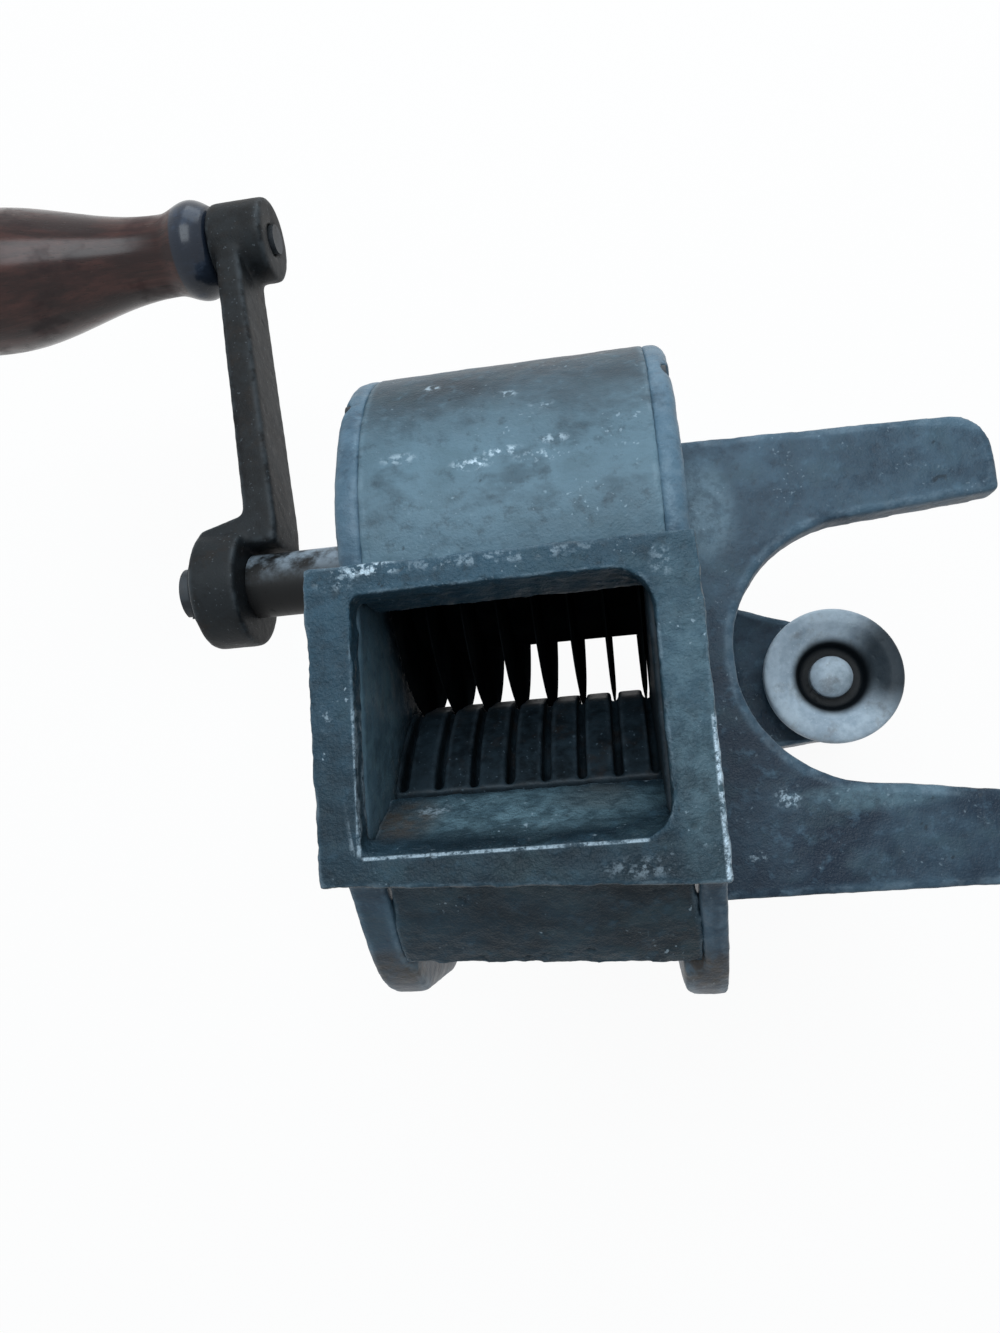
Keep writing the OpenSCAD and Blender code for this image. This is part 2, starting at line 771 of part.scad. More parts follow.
module crank_arm() {
    color(dark_iron) head() difference() {
        union() {
            rod_x(hub_d, hub_out, crank_side);
            translate([0, 0, -arm_w / 2]) linear_extrude(arm_w) crank_arm2d();
            translate([0, crank_r, 0]) rod_x(eye_d, eye_left, eye_x);
        }
        square_x(hub_square + 2 * set_fit, hub_out - eps, crank_side + eps);
        rod_x(shaft_d + 4 * set_fit, crank_side, crank_side + 2 * arm_root_t);
        translate([0, crank_r, 0]) rod_x(axle_d + 2 * set_fit, eye_left - eps, eye_x + eps);
    }
}

module crank_washer() {
    color(steel) head() difference() {
        rod_x(washer_d, hub_out - washer_t, hub_out);
        rod_x(crank_screw_d + 2 * set_fit, hub_out - 2 * washer_t, hub_out + eps);
    }
}

module crank_screw() {
    head_d = crank_screw_d * 2.4;
    head_h = crank_screw_d * 0.8;
    seat = hub_out - washer_t;
    color(steel) head() difference() {
        union() {
            rod_x(crank_screw_d, seat - eps, hub_out + hub_l);
            rod_x(head_d, seat - head_h, seat);
        }
        translate([seat - head_h - eps, -head_d, -fix_slot]) cube([1.5 * fix_slot, 2 * head_d, 2 * fix_slot]);
    }
}

// The grip's axle: riveted in the eye, with its head sunk in the end of the grip
module grip_axle() {
    head_h = axle_d * 0.5;
    color(worn_steel) head() translate([0, crank_r, 0]) {
        rod_x(axle_d, grip_start - grip_l + axle_d, eye_x + rivet_h);
        rod_x(axle_head_d, grip_start - grip_l + axle_d - head_h, grip_start - grip_l + axle_d);
    }
}

// Radius of the grip at a distance from the eye
function ease(t) = (1 - cos(180 * t)) / 2;
function grip_r(s) =
    s < bead_at ? (face_d + (bead_d - face_d) * sin(90 * s / bead_at)) / 2
    : s < waist_at ? (bead_d + (waist_d - bead_d) * ease((s - bead_at) / (waist_at - bead_at))) / 2
    : s < swell_at ? (waist_d + (grip_d - waist_d) * ease((s - waist_at) / (swell_at - waist_at))) / 2
    : grip_d / 2 * sqrt(max(1 - pow((s - swell_at) / (grip_l - swell_at), 2) * end_round, 0));

module grip() {
    steps = 40;
    color(wood) head() translate([grip_start, crank_r, 0]) difference() {
        rotate([0, -90, 0]) rotate_extrude()
            polygon(concat(
                [[0, 0]], [for (i = [0:steps]) [grip_r(grip_l * i / steps), grip_l * i / steps]], [[0, grip_l]]
            ));
        rod_x(axle_d + 2 * run_fit, -grip_l - eps, eps);
        rod_x(axle_head_d + 6 * run_fit, -grip_l - eps, -grip_l + axle_d + end_play);
    }
}

module clamp_screw() {
    tip_z = pad_top - cup_depth + end_play;
    shoulder = pad_low - end_play;
    wing_mid = wing_top - wing_h / 2;
    lobe_r = wing_h / 2;
    waist = wing_h * 0.7;
    color(worn_steel) {
        translate([0, 0, wing_mid]) cylinder(d = screw_d, h = shoulder - wing_mid);
        translate([0, 0, shoulder - eps]) cylinder(d = neck_d, h = tip_z - shoulder + 2 * eps);
        translate([0, 0, tip_z]) rotate_extrude() intersection() {
            square([tip_d / 2, tip_h]);
            translate([0, tip_h - tip_dome_r]) circle(r = tip_dome_r);
        }
        translate([0, wing_t / 2, wing_mid]) rotate([90, 0, 0]) linear_extrude(wing_t) {
            for (s = [-1, 1]) translate([s * (wing_span / 2 - lobe_r), 0]) circle(r = lobe_r);
            box2d([-wing_span / 2 + lobe_r, -waist / 2], [wing_span / 2 - lobe_r, waist / 2]);
        }
    }
}

module clamp_pad() {
    color(worn_steel) translate([0, 0, pad_low]) difference() {
        rotate_extrude() polygon([
            [0, 0], [pad_foot_d / 2, 0], [pad_d / 2, pad_t - pad_side], [pad_d / 2, pad_t - pad_edge],
            [pad_d / 2 - pad_edge, pad_t], [pad_d / 2 - cup_rim, pad_t], [funnel_low_r, pad_t - funnel_depth],
            [cup_d / 2, pad_t - cup_depth], [0, pad_t - cup_depth]
        ]);
        translate([0, 0, -eps]) cylinder(d = neck_d + 2 * run_fit, h = pad_t);
    }
}

left_wall();
right_wall();
hopper();
drum_cover();
comb();
hopper_screws();
cover_screws();
comb_screws();
shaft();
stack_nut();
crank_arm();
crank_washer();
crank_screw();
grip_axle();
for (i = [1:knife_count]) knife(i);
for (i = [1:knife_count - 1]) spacer(i);
grip();
clamp_screw();
clamp_pad();
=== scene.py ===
# A hand-cranked bean slicer: pitted castings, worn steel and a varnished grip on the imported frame
import json
import math

import bmesh
import bpy
from mathutils import Matrix, Vector

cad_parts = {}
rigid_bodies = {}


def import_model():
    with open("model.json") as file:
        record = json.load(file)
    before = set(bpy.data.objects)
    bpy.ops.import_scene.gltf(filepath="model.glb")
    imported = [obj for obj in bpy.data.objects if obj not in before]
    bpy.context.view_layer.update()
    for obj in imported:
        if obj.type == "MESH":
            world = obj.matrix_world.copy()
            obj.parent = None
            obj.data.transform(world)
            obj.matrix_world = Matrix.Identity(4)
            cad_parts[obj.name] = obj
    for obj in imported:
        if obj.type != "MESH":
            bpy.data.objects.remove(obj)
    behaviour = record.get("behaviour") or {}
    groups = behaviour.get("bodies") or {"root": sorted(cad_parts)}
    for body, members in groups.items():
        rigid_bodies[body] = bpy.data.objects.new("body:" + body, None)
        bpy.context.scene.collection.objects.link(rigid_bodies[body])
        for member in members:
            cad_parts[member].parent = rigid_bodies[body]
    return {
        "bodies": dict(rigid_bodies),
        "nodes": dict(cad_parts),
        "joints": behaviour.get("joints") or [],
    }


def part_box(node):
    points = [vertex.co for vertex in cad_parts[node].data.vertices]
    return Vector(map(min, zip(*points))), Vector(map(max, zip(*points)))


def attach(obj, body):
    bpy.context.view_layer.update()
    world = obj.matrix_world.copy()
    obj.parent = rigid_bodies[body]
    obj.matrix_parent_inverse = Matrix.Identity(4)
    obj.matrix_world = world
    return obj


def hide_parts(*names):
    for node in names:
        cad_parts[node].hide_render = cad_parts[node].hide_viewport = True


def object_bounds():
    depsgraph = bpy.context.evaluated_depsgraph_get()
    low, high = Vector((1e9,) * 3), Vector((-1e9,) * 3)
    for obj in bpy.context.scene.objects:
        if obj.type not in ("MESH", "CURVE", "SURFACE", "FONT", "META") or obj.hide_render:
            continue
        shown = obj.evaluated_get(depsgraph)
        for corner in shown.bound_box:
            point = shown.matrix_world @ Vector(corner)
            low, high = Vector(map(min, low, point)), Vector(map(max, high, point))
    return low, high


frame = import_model()
made_by_load = set(frame["nodes"].values()) | set(frame["bodies"].values())
for spare in [o for o in bpy.data.objects if o not in made_by_load]:
    bpy.data.objects.remove(spare)
cad_low, cad_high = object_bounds()

# Driving sizes, in millimetres unless the name says otherwise
MM = 0.001
JOINT_AT = {j["name"]: Vector(j["pos_m"]) / MM for j in frame["joints"] if "pos_m" in j}
SHAFT = JOINT_AT["crank_turn"]
GRIP_AXIS = JOINT_AT["grip_spin"]


def node_box(node):
    """Lowest and highest corner of a node, in millimetres."""
    low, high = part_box(node)
    return low / MM, high / MM


RIM_HIGH = node_box("hopper")[1]
SCREW_LOW, SCREW_HIGH = node_box("clamp_screw")
PAD_LOW, PAD_HIGH = node_box("clamp_pad")
GRIP_HIGH = node_box("grip")[1]
MOUTH_LEFT = -101.45
MOUTH_RIGHT = -49.45
MOUTH_FRONT = -37.2
MOUTH_BACK = 7.8

# Photograph: height of its frame in pixels, focal length in those pixels, and the camera's place in metres
FRAME_HEIGHT_PX = 1333
FOCAL_PX = 950
SENSOR_MM = 36
CAMERA_PLACE = Vector((-0.05462, -0.03442, 0.22482))
CAMERA_BACK = Vector((0.13048, -0.16917, 0.97691))
CAMERA_UP = Vector((0.09278, 0.98308, 0.15785))
CAMERA_CLIP = 0.005

# Shares of a worn patch's reach and of a rubbed line's width that are covered in full
PATCH_CORE = 0.35
RUB_CORE = 0.4


# Shader and geometry sums
class Wire:
    """A socket that can stand in a sum: each operator adds one Math node to its tree."""

    def __init__(self, bench, socket):
        self.bench = bench
        self.socket = socket

    def sum(self, operation, first, second):
        return self.bench.node("ShaderNodeMath", {"operation": operation}, [first, second])

    def __add__(self, other):
        return self.sum("ADD", self, other)

    __radd__ = __add__

    def __sub__(self, other):
        return self.sum("SUBTRACT", self, other)

    def __rsub__(self, other):
        return self.sum("SUBTRACT", other, self)

    def __mul__(self, other):
        return self.sum("MULTIPLY", self, other)

    __rmul__ = __mul__

    def __truediv__(self, other):
        return self.sum("DIVIDE", self, other)

    def __rtruediv__(self, other):
        return self.sum("DIVIDE", other, self)

    def __abs__(self):
        return self.bench.node("ShaderNodeMath", {"operation": "ABSOLUTE"}, [self])


class Bench:
    """Makes the nodes of one tree."""

    def __init__(self, tree):
        self.tree = tree

    def node(self, kind, settings=None, values=None, out=0):
        """Adds a node: its settings are set first, then its sockets' values or links."""
        made = self.tree.nodes.new(kind)
        for name, value in (settings or {}).items():
            setattr(made, name, value)
        pairs = values.items() if isinstance(values, dict) else enumerate(values or [])
        for key, value in pairs:
            if isinstance(value, Wire):
                self.tree.links.new(value.socket, made.inputs[key])
            else:
                made.inputs[key].default_value = value
        return Wire(self, made.outputs[out])

    def place(self):
        """The point in the part's own frame, in millimetres."""
        spot = self.node("ShaderNodeTexCoord", out="Object")
        return self.node("ShaderNodeVectorMath", {"operation": "SCALE"}, {0: spot, 3: 1 / MM})

    def axis(self, vector, name):
        return self.node("ShaderNodeSeparateXYZ", None, [vector], name)

    def noise(self, spot, size, detail, rough, shift=0.0, stretch=(1, 1, 1)):
        """Noise whose features are about size millimetres across, stretched along the axes."""
        scale = [1 / (size * s) for s in stretch]
        moved = self.node("ShaderNodeMapping", None, {0: spot, 1: (shift, shift, shift), 3: scale})
        return self.node("ShaderNodeTexNoise", None, {0: moved, 2: 1.0, 3: detail, 4: rough})

    def step(self, value, low, high):
        """Rises smoothly from 0 at low to 1 at high."""
        return self.node("ShaderNodeMapRange", {"interpolation_type": "SMOOTHSTEP"}, [value, low, high])

    def most(self, first, second):
        return self.node("ShaderNodeMath", {"operation": "MAXIMUM"}, [first, second])

    def tint(self, amount, under, over):
        """Lays the colour over on the colour under."""
        return self.node("ShaderNodeMix", {"data_type": "RGBA"}, {0: amount, 6: under, 7: over}, 2)

    def attribute(self, name):
        return self.node("ShaderNodeAttribute", {"attribute_name": name}, None, "Fac")

    def seen(self):
        """1 where the camera sees a surface directly, mirrored or through another."""
        rays = ("Camera", "Glossy", "Transmission")
        direct, gloss, through = (
            self.node("ShaderNodeLightPath", None, None, f"Is {ray} Ray") for ray in rays)
        return self.most(direct, self.most(gloss, through))

    def patch(self, spot, centre, reach):
        """A soft egg-shaped patch of the surface."""
        moved = self.node("ShaderNodeVectorMath", {"operation": "SUBTRACT"}, [spot, centre])
        scaled = self.node("ShaderNodeVectorMath", {"operation": "DIVIDE"}, [moved, reach])
        away = self.node("ShaderNodeVectorMath", {"operation": "LENGTH"}, [scaled], "Value")
        return 1 - self.step(away, PATCH_CORE, 1.0)

    def rub(self, spot, start, end, width):
        """A narrow rubbed line from start to end, seen from above."""
        along = Vector((end[0] - start[0], end[1] - start[1], 0))
        run = along.normalized()
        side = Vector((-run.y, run.x, 0))
        moved = self.node("ShaderNodeVectorMath", {"operation": "SUBTRACT"}, [spot, (start[0], start[1], 0)])
        off = abs(self.node("ShaderNodeVectorMath", {"operation": "DOT_PRODUCT"}, [moved, side], "Value"))
        far = self.node("ShaderNodeVectorMath", {"operation": "DOT_PRODUCT"}, [moved, run], "Value")
        past = self.step(far, along.length - width, along.length + width)
        ends = self.step(far, -width, width) * (1 - past)
        return (1 - self.step(off, width * RUB_CORE, width)) * ends


def srgb(red, green, blue):
    """A colour as it shows on screen, 0 to 255, as a shader colour."""
    shares = [v / 255 for v in (red, green, blue)]
    return tuple(v / 12.92 if v <= 0.04045 else ((v + 0.055) / 1.055) ** 2.4 for v in shares) + (1.0,)


def new_finish(name):
    """An empty material with its bench and its surface shader."""
    material = bpy.data.materials.new(name)
    material.use_nodes = True
    tree = material.node_tree
    return material, Bench(tree), tree.nodes["Principled BSDF"]


def dress(bench, shader, base, rough, metal, height, depth):
    """Links what changes over the surface to the shader; depth is the relief in millimetres."""
    links = bench.tree.links
    for name, value in (("Base Color", base), ("Roughness", rough), ("Metallic", metal)):
        if isinstance(value, Wire):
            links.new(value.socket, shader.inputs[name])
        else:
            shader.inputs[name].default_value = value
    relief = bench.node("ShaderNodeBump", None, {"Strength": 1.0, "Distance": depth * MM, "Height": height})
    links.new(relief.socket, shader.inputs["Normal"])


# Finishes
IRON_BROWN = srgb(70, 60, 52)
FOOT_BROWN = srgb(64, 56, 46)
IRON_BRIGHT = srgb(176, 196, 210)
# The pits' dark, also laid on as painted shade
PIT_DARK_AND_PAINTED_SHADE = srgb(22, 31, 38)
HOLLOW_PAINTED_SHADE = srgb(12, 17, 21)
SMUDGE_GREY = srgb(62, 84, 92)
# A pale lacquer tone, also laid on as painted light
PALE_LACQUER_AND_PAINTED_LIGHT = srgb(104, 133, 146)
# Painted light for the right wall's back shoulder
FLANGE_PAINTED_LIGHT = srgb(126, 154, 170)
WOOD_DARK = srgb(36, 20, 20)
WOOD_LIGHT = srgb(72, 42, 38)
WOOD_FIBRE = srgb(30, 16, 16)
WOOD_GRIME = srgb(36, 28, 32)
WOOD_PORE = srgb(20, 12, 12)
WOOD_NICK = srgb(112, 92, 84)
FERRULE_DARK = srgb(30, 38, 50)
FERRULE_LIGHT = srgb(50, 60, 75)

# Mirror strength, relief in millimetres and varnish, where a finish has the same on every piece
LACQUER_SHINE = 0.16
IRON_SHINE = 0.14
IRON_RELIEF = 0.12
STEEL_RELIEF = 0.05
WOOD_SHINE = 0.05
WOOD_RELIEF = 0.08
COAT_ROUGHNESS = 0.2
COAT_IOR = 1.42

# Lengths, in millimetres, over which the painted shade in the pad's dish and the ferrule's edge blend in
HOLLOW_INNER_BLEND = 1.5
HOLLOW_OUTER_BLEND = 2.5
FERRULE_BLEND = 0.8


def lacquered_iron(name, dark, light, painted_light_fade, rubs, patches, stains_and_painted_light, flecked, edge_wear, relief):
    """Blue-grey lacquer on a casting, with rubbed lines, chipped patches, dirt and painted light.

    painted_light_fade holds how far Y and Z count and the two levels between which the lacquer goes from dark
    to light, as painted shade and light. A rub is (start, end, width, strength), a patch (centre, reach,
    strength), and an entry of
    stains_and_painted_light adds a colour: some entries are dirt, some painted light."""
    material, b, shader = new_finish(name)
    spot = b.place()
    edge = b.attribute("edge")
    pit = b.attribute("pit")
    cloud = b.noise(spot, size=22, detail=4, rough=0.6)
    smudge = b.noise(spot, size=8, detail=4, rough=0.65, shift=83, stretch=(1.6, 1, 1))
    mottle = b.noise(spot, size=3.2, detail=4, rough=0.65, shift=7)
    grain = b.noise(spot, size=0.55, detail=2, rough=0.6, shift=3)
    y_share, z_share, low, high = painted_light_fade
    # Painted shade and light: the lacquer goes from dark to light along Y and Z, as the faces turn from or to
    # the lamps
    painted_light_share = b.step(y_share * b.axis(spot, "Y") + z_share * b.axis(spot, "Z"), low, high)
    base = b.tint(painted_light_share * 0.72 + b.step(cloud, 0.35, 0.65) * 0.28, dark, light)
    base = b.tint(b.step(smudge, 0.48, 0.68) * 0.3, base, SMUDGE_GREY)
    base = b.tint(b.step(0.52 - smudge, 0.0, 0.2) * 0.45, base, dark)
    base = b.tint(b.step(mottle, 0.52, 0.76) * 0.4, base, light)
    base = b.tint(b.step(0.48 - mottle, 0.0, 0.2) * 0.45, base, dark)
    base = b.tint(b.step(pit, 0.2, 0.8) * 0.6, base, PIT_DARK_AND_PAINTED_SHADE)
    base = b.tint(b.step(edge, 0.06, 0.24) * b.step(smudge, 0.3, 0.55) * 0.3, base, light)
    blotches = b.step(b.noise(spot, size=4, detail=4, rough=0.7, shift=19), 0.38, 0.6)
    # Each entry of stains_and_painted_light tints a patch with its colour, broken up by noise: brown dirt, or
    # pale painted light
    for centre, reach, strength, colour in stains_and_painted_light:
        base = b.tint(b.patch(spot, centre, reach) * (0.4 + 0.6 * blotches) * strength, base, colour)
    broken = b.step(b.noise(spot, size=4.5, detail=4, rough=0.7, shift=31), 0.42, 0.62)
    chipped = b.step(edge, 0.12, 0.26) * broken * edge_wear
    flecks = b.step(b.noise(spot, size=0.9, detail=1, rough=0.4, shift=43), 0.68, 0.74)
    fields = b.step(b.noise(spot, size=9, detail=2, rough=0.5, shift=53), 0.5, 0.64)
    chipped = b.most(chipped, flecks * fields * flecked)
    scuffs = b.step(b.noise(spot, size=1.4, detail=3, rough=0.65, shift=61), 0.48, 0.64)
    for centre, reach, strength in patches:
        chipped = b.most(chipped, b.patch(spot, centre, reach) * scuffs * strength)
    ragged = b.step(b.noise(spot, size=1.6, detail=4, rough=0.75, shift=71), 0.36, 0.56)
    for start, end, width, strength in rubs:
        line = b.rub(spot, start, end, width) * ragged * strength
        chipped = b.most(chipped, line * b.step(edge, 0.0, 0.06))
    base = b.tint(chipped, base, IRON_BRIGHT)
    rough = 0.4 + 0.25 * (mottle - 0.5) + 0.12 * (cloud - 0.5) - 0.05 * chipped
    dress(b, shader, base, rough, chipped * 0.3, grain * 0.4 + mottle * 0.6, relief)
    shader.inputs["Specular IOR Level"].default_value = LACQUER_SHINE
    return material


def bare_iron(name, dark, light, rust, bright, wear, painted_shades=(), shaded_hollow=None):
    """A bare worn iron surface that shows its metal on the edges and has painted shade in places.

    shaded_hollow holds the two distances from the clamp screw's axis between which it is black with painted
    shade."""
    material, b, shader = new_finish(name)
    spot = b.place()
    edge = b.attribute("edge")
    cloud = b.noise(spot, size=15, detail=4, rough=0.6, shift=5)
    mottle = b.noise(spot, size=2.2, detail=4, rough=0.65, shift=11)
    grain = b.noise(spot, size=0.45, detail=2, rough=0.6, shift=3)
    base = b.tint(b.step(cloud * 0.6 + mottle * 0.4, 0.38, 0.62), dark, light)
    rusted = b.step(b.noise(spot, size=7, detail=5, rough=0.7, shift=23), 0.52, 0.7)
    base = b.tint(rusted * 0.45, base, rust)
    broken = b.step(b.noise(spot, size=5, detail=4, rough=0.7, shift=37), 0.38, 0.6)
    worn = b.step(edge, 0.05, 0.2) * broken * wear
    flecks = b.step(b.noise(spot, size=0.7, detail=1, rough=0.4, shift=47), 0.7, 0.76)
    worn = b.most(worn, flecks * 0.5)
    base = b.tint(worn, base, bright)
    # Painted shade: dark patches where the surface is turned from the lamps
    for centre, reach, strength in painted_shades:
        base = b.tint(b.patch(spot, centre, reach) * strength, base, PIT_DARK_AND_PAINTED_SHADE)
    # Painted shade: a black ring where the pad's dish lies in shade
    if shaded_hollow:
        inner, outer = shaded_hollow
        flat = b.node("ShaderNodeVectorMath", {"operation": "MULTIPLY"}, [spot, (1, 1, 0)])
        away = b.node("ShaderNodeVectorMath", {"operation": "LENGTH"}, [flat], "Value")
        beyond = b.step(away, outer - HOLLOW_OUTER_BLEND, outer)
        ring = b.step(away, inner - HOLLOW_INNER_BLEND, inner) * (1 - beyond)
        base = b.tint(ring, base, HOLLOW_PAINTED_SHADE)
    rough = 0.5 + 0.25 * (mottle - 0.5) - 0.1 * worn
    dress(b, shader, base, rough, 0.3 * worn, grain * 0.5 + mottle * 0.5, IRON_RELIEF)
    shader.inputs["Specular IOR Level"].default_value = IRON_SHINE
    return material


def turned_steel(name, dark, light, rust, ring, shine, side=0.0):
    """Steel turned about the knife shaft, with rings ring millimetres wide, tarnish and rust specks.

    shine is its mirror strength, and side says how far its front is darkened as painted shade."""
    material, b, shader = new_finish(name)
    spot = b.place()
    moved = b.node("ShaderNodeVectorMath", {"operation": "SUBTRACT"}, [spot, SHAFT])
    flat = b.node("ShaderNodeVectorMath", {"operation": "MULTIPLY"}, [moved, (0, 1, 1)])
    radius = b.node("ShaderNodeVectorMath", {"operation": "LENGTH"}, [flat], "Value")
    turning = b.node("ShaderNodeCombineXYZ", None, [b.axis(moved, "X") / ring, radius / ring, 0.0])
    rings = b.node("ShaderNodeTexNoise", None, {0: turning, 2: 1.0, 3: 2.0, 4: 0.6})
    cloud = b.noise(spot, size=9, detail=5, rough=0.65, shift=13)
    specks = b.step(b.noise(spot, size=1.4, detail=3, rough=0.6, shift=29), 0.62, 0.72)
    base = b.tint(b.step(cloud, 0.38, 0.62), dark, light)
    base = b.tint(specks * 0.7 + b.step(cloud, 0.55, 0.7) * 0.3, base, rust)
    # Painted shade: the front, turned from the lamps, goes dark
    base = b.tint((1 - b.step(b.axis(moved, "Y"), -2, 5)) * side, base, dark)
    rough = 0.46 + 0.2 * (rings - 0.5) + 0.25 * specks
    dress(b, shader, base, rough, 0.0, rings * 0.7 + specks * 0.3, STEEL_RELIEF)
    shader.inputs["Specular IOR Level"].default_value = shine
    return material


def varnished_wood(name, ferrule):
    """Dark turned hardwood under an old varnish, its grain along the grip.

    ferrule is the length of the blued ferrule at the eye."""
    material, b, shader = new_finish(name)
    spot = b.place()
    fibre = b.noise(spot, size=1.0, detail=3, rough=0.6, shift=17, stretch=(26, 1, 1))
    figure = b.noise(spot, size=5.0, detail=4, rough=0.6, shift=5, stretch=(8, 1, 1))
    pores = b.step(b.noise(spot, size=0.45, detail=1, rough=0.5, shift=41, stretch=(14, 1, 1)), 0.62, 0.72)
    base = b.tint(b.step(figure, 0.36, 0.64), WOOD_DARK, WOOD_LIGHT)
    base = b.tint(b.step(fibre, 0.4, 0.7) * 0.5, base, WOOD_FIBRE)
    blotches = b.step(b.noise(spot, size=13, detail=4, rough=0.65, shift=59), 0.5, 0.68)
    base = b.tint(blotches * 0.4, base, WOOD_GRIME)
    base = b.tint(pores * 0.5, base, WOOD_PORE)
    nicks = b.step(b.noise(spot, size=2.2, detail=3, rough=0.6, shift=67, stretch=(2.5, 1, 1)), 0.68, 0.74)
    base = b.tint(nicks * 0.2, base, WOOD_NICK)
    ferrule_from = GRIP_HIGH.x - ferrule
    capped = b.step(b.axis(spot, "X"), ferrule_from, ferrule_from + FERRULE_BLEND)
    blued = b.tint(b.step(blotches + figure, 0.4, 1.2), FERRULE_DARK, FERRULE_LIGHT)
    base = b.tint(capped, base, blued)
    rough = 0.36 + 0.2 * (blotches - 0.3) + 0.1 * pores
    dress(b, shader, base, rough, 0.0, 1 - pores * 0.6 - nicks * 0.4 + figure * 0.3, WOOD_RELIEF)
    coat = 0.65 - 0.3 * blotches
    b.tree.links.new(coat.socket, shader.inputs["Coat Weight"])
    shader.inputs["Coat Roughness"].default_value = COAT_ROUGHNESS
    shader.inputs["Coat IOR"].default_value = COAT_IOR
    shader.inputs["Specular IOR Level"].default_value = WOOD_SHINE
    return material


# Meshes; points of a solid that are closer than WELD, in metres, become one
WELD = 1e-6


def piece(name, mesh):
    """A new object at the origin, in the scene."""
    obj = bpy.data.objects.new(name, mesh)
    bpy.context.scene.collection.objects.link(obj)
    return obj


def settle(obj):
    """Turns what the modifiers make into the object's own plain mesh."""
    depsgraph = bpy.context.evaluated_depsgraph_get()
    made = bpy.data.meshes.new_from_object(obj.evaluated_get(depsgraph), depsgraph=depsgraph)
    obj.modifiers.clear()
    obj.data = made
    return obj


def merged_copy(node, keep=None):
    """A welded copy of a node's mesh, in metres; keep cuts it to the heights between two levels."""
    bm = bmesh.new()
    bm.from_mesh(frame["nodes"][node].data)
    bmesh.ops.remove_doubles(bm, verts=bm.verts, dist=WELD)
    for level, inner in zip(keep or (), (False, True)):
        geometry = bm.verts[:] + bm.edges[:] + bm.faces[:]
        cut = bmesh.ops.bisect_plane(
            bm, geom=geometry, plane_co=(0, 0, level * MM), plane_no=(0, 0, 1),
            clear_inner=not inner, clear_outer=inner)
        rim = [e for e in cut["geom_cut"] if isinstance(e, bmesh.types.BMEdge)]
        bmesh.ops.contextual_create(bm, geom=rim)
    mesh = bpy.data.meshes.new(node)
    bm.to_mesh(mesh)
    bm.free()
    return mesh


def with_bar(mesh, left, right, outline):
    """Adds a bar along X to a mesh, from its outline of (y, z) points in millimetres."""
    bm = bmesh.new()
    bm.from_mesh(mesh)
    ends = [[bm.verts.new(Vector((x, y, z)) * MM) for y, z in outline] for x in (left, right)]
    faces = [bm.faces.new(ends[0]), bm.faces.new(ends[1])]
    for i in range(len(outline)):
        faces.append(bm.faces.new((ends[0][i - 1], ends[0][i], ends[1][i], ends[1][i - 1])))
    bmesh.ops.recalc_face_normals(bm, faces=faces)
    bm.to_mesh(mesh)
    bm.free()
    return mesh


def socket(tree, name, kind, flow="INPUT"):
    return tree.interface.new_socket(name, in_out=flow, socket_type=kind)


def run_tree(obj, tree, **values):
    """Adds a geometry tree to an object as a modifier, with its named inputs."""
    modifier = obj.modifiers.new(tree.name, "NODES")
    modifier.node_group = tree
    for item in tree.interface.items_tree:
        if item.in_out == "INPUT" and item.name in values:
            modifier[item.identifier] = values[item.name]


# Skin of a casting: sizes of its lumps, bumps and pitted fields, in millimetres. LIFT_TOP is near the
# noise's highest value, so that the skin sinks, and EDGE_REACH is how often it is blurred to find its edges.
# A pit begins where its noise reaches PIT_FROM, and has its full depth at PIT_FULL
LUMP_SIZE = 11
BUMP_SIZE = 3.4
FIELD_SIZE = 13
LIFT_TOP = 0.72
PIT_FROM = 0.72
PIT_FULL = 0.8
EDGE_REACH = 14


